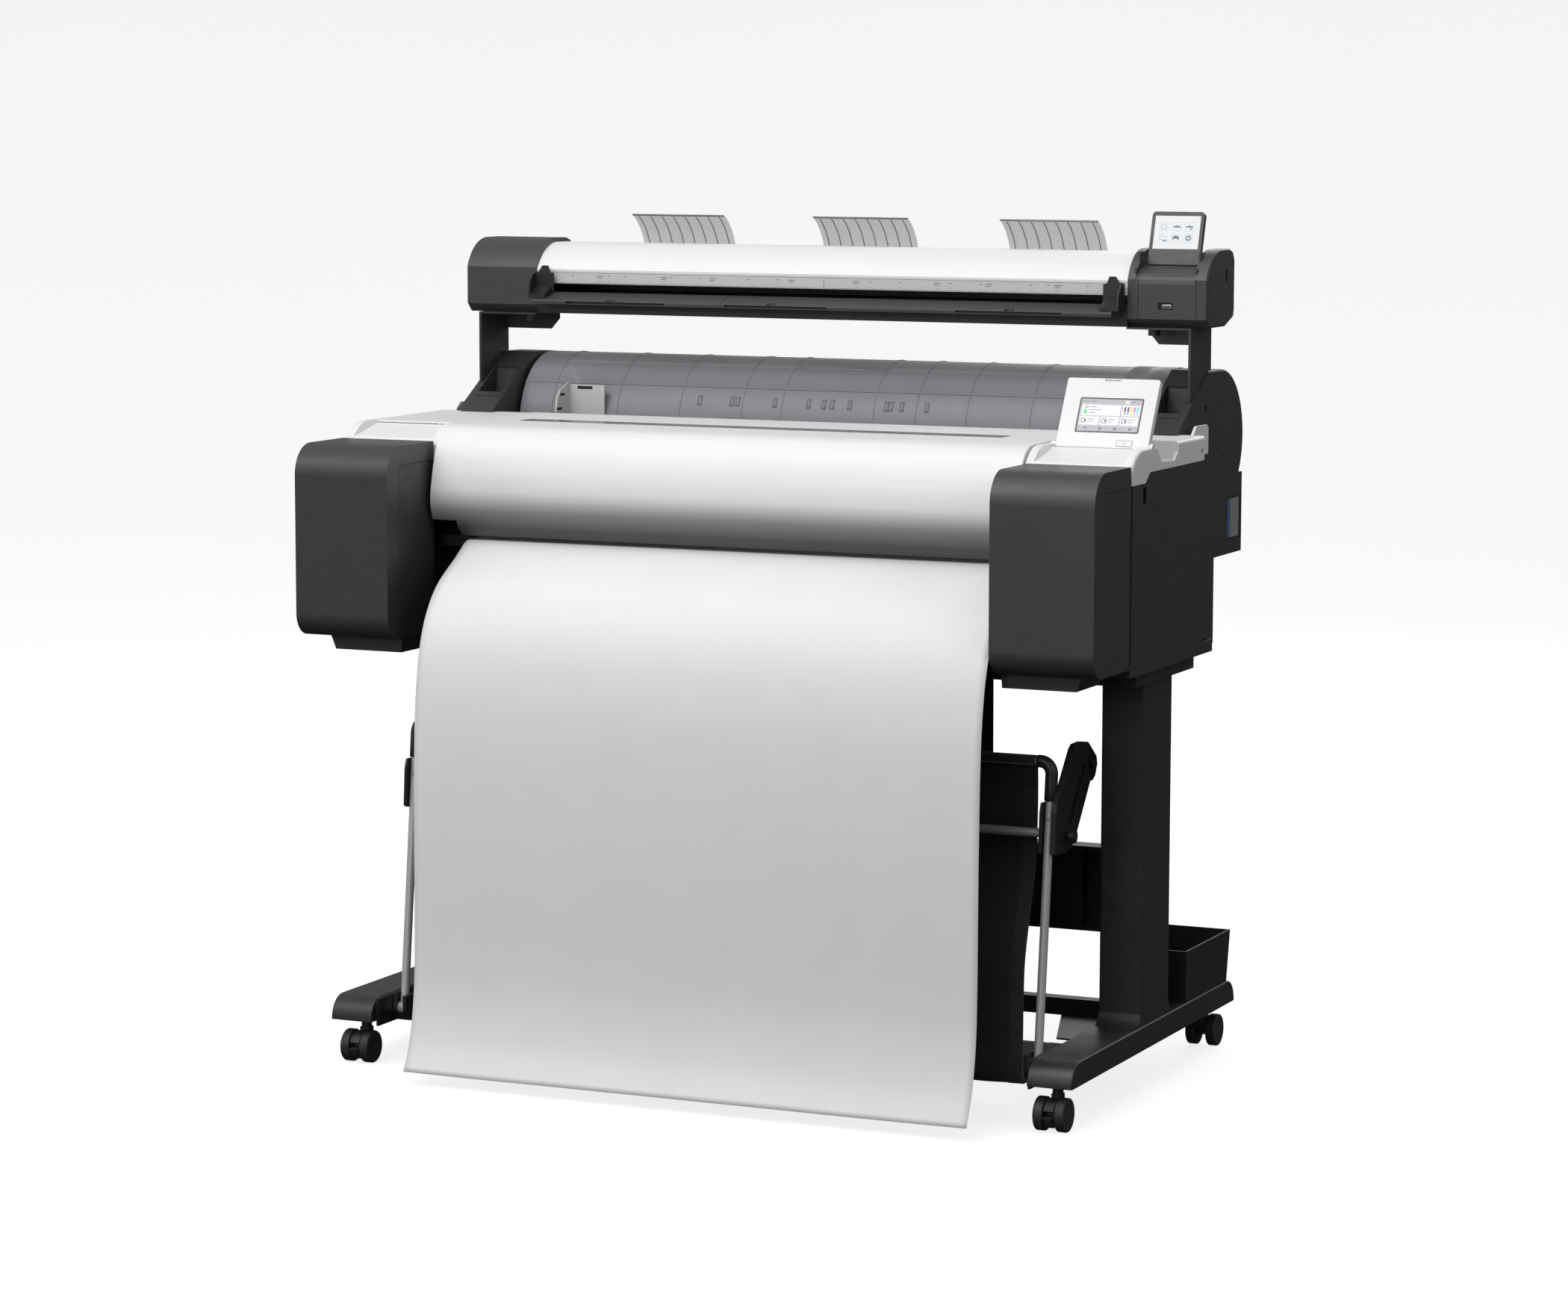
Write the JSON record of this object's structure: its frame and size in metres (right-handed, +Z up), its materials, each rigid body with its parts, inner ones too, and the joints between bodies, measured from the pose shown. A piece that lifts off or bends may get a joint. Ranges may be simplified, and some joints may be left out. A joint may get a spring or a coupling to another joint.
{
  "type": "large format plotter",
  "caption": "Wheeled large format inkjet plotter with ink compartments, tilting panel, covered roll, scanner bar, catch basket and a hanging printed sheet.",
  "frame": {"origin": "on the floor under the middle of the whole machine, paper included", "axes": "+X to the right seen from the front, +Y from the front to the rear, +Z up"},
  "size_m": [1.289, 0.8288, 1.3054],
  "materials": {
    "stand_black": "satin",
    "rod_silver": "satin",
    "black_plastic": "satin",
    "dark_plastic": "satin",
    "ink_cover_plastic": "satin",
    "white_plastic": "satin",
    "grey_plastic": "satin",
    "smoke_plastic": "satin",
    "smoke_window": "gloss",
    "screen_glass": "gloss",
    "tank_plastic": "satin",
    "black_cloth": "matte",
    "paper": "matte",
    "wheel_rubber": "matte",
    "steel": "satin"
  },
  "bodies": {
    "machine": {"left_foot": "stand_black", "right_foot": "stand_black", "left_column": "stand_black", "right_column": "stand_black", "lower_crossbar": "stand_black", "rear_stay_panel": "stand_black", "left_scanner_post": "stand_black", "right_scanner_post": "stand_black", "accessory_tray": "black_plastic", "basket_clamps": "black_plastic", "base_casing": "black_plastic", "left_side_panel": "black_plastic", "right_side_panel": "black_plastic", "left_ink_bay": "black_plastic", "right_ink_bay": "black_plastic", "platen": "black_plastic", "scanner_base": "black_plastic", "scanner_feed_table": "black_plastic", "left_scanner_cap": "black_plastic", "right_scanner_cap": "black_plastic", "left_shoulder_cover": "white_plastic", "right_shoulder_cover": "white_plastic", "left_roll_casing": "dark_plastic", "right_roll_casing": "dark_plastic", "rear_casing": "dark_plastic", "ink_tanks": "tank_plastic", "basket_cloth": "black_cloth", "paper_sheet": "paper", "print_frame": "steel", "return_guides": "grey_plastic"},
    "front_left_caster": {"front_left_caster_fork": "black_plastic"},
    "front_left_caster_pair": {"front_left_caster_wheels": "wheel_rubber"},
    "rear_left_caster": {"rear_left_caster_fork": "black_plastic"},
    "rear_left_caster_pair": {"rear_left_caster_wheels": "wheel_rubber"},
    "front_left_caster_brake": {"front_left_caster_lever": "black_plastic"},
    "front_right_caster": {"front_right_caster_fork": "black_plastic"},
    "front_right_caster_pair": {"front_right_caster_wheels": "wheel_rubber"},
    "rear_right_caster": {"rear_right_caster_fork": "black_plastic"},
    "rear_right_caster_pair": {"rear_right_caster_wheels": "wheel_rubber"},
    "front_right_caster_brake": {"front_right_caster_lever": "black_plastic"},
    "basket": {"basket_frame": "rod_silver"},
    "basket_hoop": {"basket_cross_rod": "rod_silver", "left_basket_arm": "black_plastic", "right_basket_arm": "black_plastic"},
    "top_lid": {"top_cover": "white_plastic", "cover_window": "smoke_window"},
    "left_ink_lid": {"left_ink_cover": "ink_cover_plastic"},
    "right_ink_lid": {"right_ink_cover": "ink_cover_plastic"},
    "control_panel": {"operation_panel": "white_plastic", "operation_screen": "screen_glass"},
    "power_key": {"power_button": "white_plastic"},
    "roll_lid": {"roll_cover": "smoke_plastic"},
    "media_roll": {"roll_holder": "black_plastic", "paper_roll": "paper"},
    "paper_feed": {"feed_roller": "wheel_rubber"},
    "carriage": {"print_carriage": "black_plastic"},
    "scanner_lid": {"scanner_cover": "white_plastic"},
    "left_side_guide": {"left_document_guide": "dark_plastic"},
    "right_side_guide": {"right_document_guide": "dark_plastic"},
    "touch_panel": {"scanner_panel": "dark_plastic"}
  },
  "joints": [
    {"name": "front_left_caster_swivel", "type": "hinge", "parent": "machine", "child": "front_left_caster", "pos_m": [-0.57, -0.2735, 0.06], "axis": [0, 0, 1], "continuous": true},
    {"name": "front_left_caster_roll", "type": "hinge", "parent": "front_left_caster", "child": "front_left_caster_pair", "pos_m": [-0.57, -0.2915, 0.025], "axis": [1, 0, 0], "continuous": true},
    {"name": "rear_left_caster_swivel", "type": "hinge", "parent": "machine", "child": "rear_left_caster", "pos_m": [-0.57, 0.3539, 0.06], "axis": [0, 0, 1], "continuous": true},
    {"name": "rear_left_caster_roll", "type": "hinge", "parent": "rear_left_caster", "child": "rear_left_caster_pair", "pos_m": [-0.57, 0.3719, 0.025], "axis": [1, 0, 0], "continuous": true},
    {"name": "front_left_caster_brake_lever", "type": "hinge", "parent": "front_left_caster", "child": "front_left_caster_brake", "pos_m": [-0.57, -0.2915, 0.025], "axis": [1, 0, 0], "range_deg": [-14, 0]},
    {"name": "front_right_caster_swivel", "type": "hinge", "parent": "machine", "child": "front_right_caster", "pos_m": [0.57, -0.2735, 0.06], "axis": [0, 0, 1], "continuous": true},
    {"name": "front_right_caster_roll", "type": "hinge", "parent": "front_right_caster", "child": "front_right_caster_pair", "pos_m": [0.57, -0.2915, 0.025], "axis": [1, 0, 0], "continuous": true},
    {"name": "rear_right_caster_swivel", "type": "hinge", "parent": "machine", "child": "rear_right_caster", "pos_m": [0.57, 0.3539, 0.06], "axis": [0, 0, 1], "continuous": true},
    {"name": "rear_right_caster_roll", "type": "hinge", "parent": "rear_right_caster", "child": "rear_right_caster_pair", "pos_m": [0.57, 0.3719, 0.025], "axis": [1, 0, 0], "continuous": true},
    {"name": "front_right_caster_brake_lever", "type": "hinge", "parent": "front_right_caster", "child": "front_right_caster_brake", "pos_m": [0.57, -0.2915, 0.025], "axis": [1, 0, 0], "range_deg": [-14, 0]},
    {"name": "basket_tilt", "type": "hinge", "parent": "machine", "child": "basket", "pos_m": [0, -0.236, 0.078], "axis": [1, 0, 0], "range_deg": [-8, 10], "deforming": ["basket_cloth"]},
    {"name": "basket_arms", "type": "hinge", "parent": "basket", "child": "basket_hoop", "pos_m": [0, -0.199, 0.417], "axis": [1, 0, 0], "range_deg": [-40, 0]},
    {"name": "top_cover_hinge", "type": "hinge", "parent": "machine", "child": "top_lid", "pos_m": [0, 0.1165, 0.973], "axis": [-1, 0, 0], "range_deg": [0, 55]},
    {"name": "left_ink_cover_hinge", "type": "hinge", "parent": "machine", "child": "left_ink_lid", "pos_m": [0, -0.2035, 0.949], "axis": [-1, 0, 0], "range_deg": [0, 60]},
    {"name": "right_ink_cover_hinge", "type": "hinge", "parent": "machine", "child": "right_ink_lid", "pos_m": [0, -0.2035, 0.949], "axis": [-1, 0, 0], "range_deg": [0, 60]},
    {"name": "operation_panel_hinge", "type": "hinge", "parent": "machine", "child": "control_panel", "pos_m": [0.56, -0.1055, 0.9735], "axis": [-1, 0, 0], "range_deg": [0, 58]},
    {"name": "power_button_press", "type": "slide", "parent": "control_panel", "child": "power_key", "axis": [0, 0.8755, -0.4833], "range_m": [0, 0.001], "stiffness_N_per_m": 300},
    {"name": "roll_cover_hinge", "type": "hinge", "parent": "machine", "child": "roll_lid", "pos_m": [0, 0.3035, 0.95], "axis": [-1, 0, 0], "range_deg": [0, 70]},
    {"name": "media_roll_turn", "type": "hinge", "parent": "machine", "child": "media_roll", "pos_m": [0, 0.2985, 0.915], "axis": [1, 0, 0], "continuous": true},
    {"name": "carriage_travel", "type": "slide", "parent": "machine", "child": "carriage", "axis": [-1, 0, 0], "range_m": [0, 0.95]},
    {"name": "scanner_cover_hinge", "type": "hinge", "parent": "machine", "child": "scanner_lid", "pos_m": [0, 0.2935, 1.215], "axis": [-1, 0, 0], "range_deg": [0, 45]},
    {"name": "left_document_guide_slide", "type": "slide", "parent": "machine", "child": "left_side_guide", "axis": [1, 0, 0], "range_m": [0, 0.3]},
    {"name": "right_document_guide_slide", "type": "slide", "parent": "machine", "child": "right_side_guide", "axis": [-1, 0, 0], "range_m": [0, 0.3]},
    {"name": "scanner_panel_hinge", "type": "hinge", "parent": "machine", "child": "touch_panel", "pos_m": [0.558, 0.21884, 1.22799], "axis": [-1, 0, 0], "range_deg": [0, 60]},
    {"name": "feed_roller_turn", "type": "hinge", "parent": "machine", "child": "paper_feed", "pos_m": [0, 0.00221, 0.84819], "axis": [1, 0, 0], "continuous": true}
  ],
  "couplings": [
    {"joint": "feed_roller_turn", "follows": "media_roll_turn", "ratio": 5.5}
  ]
}
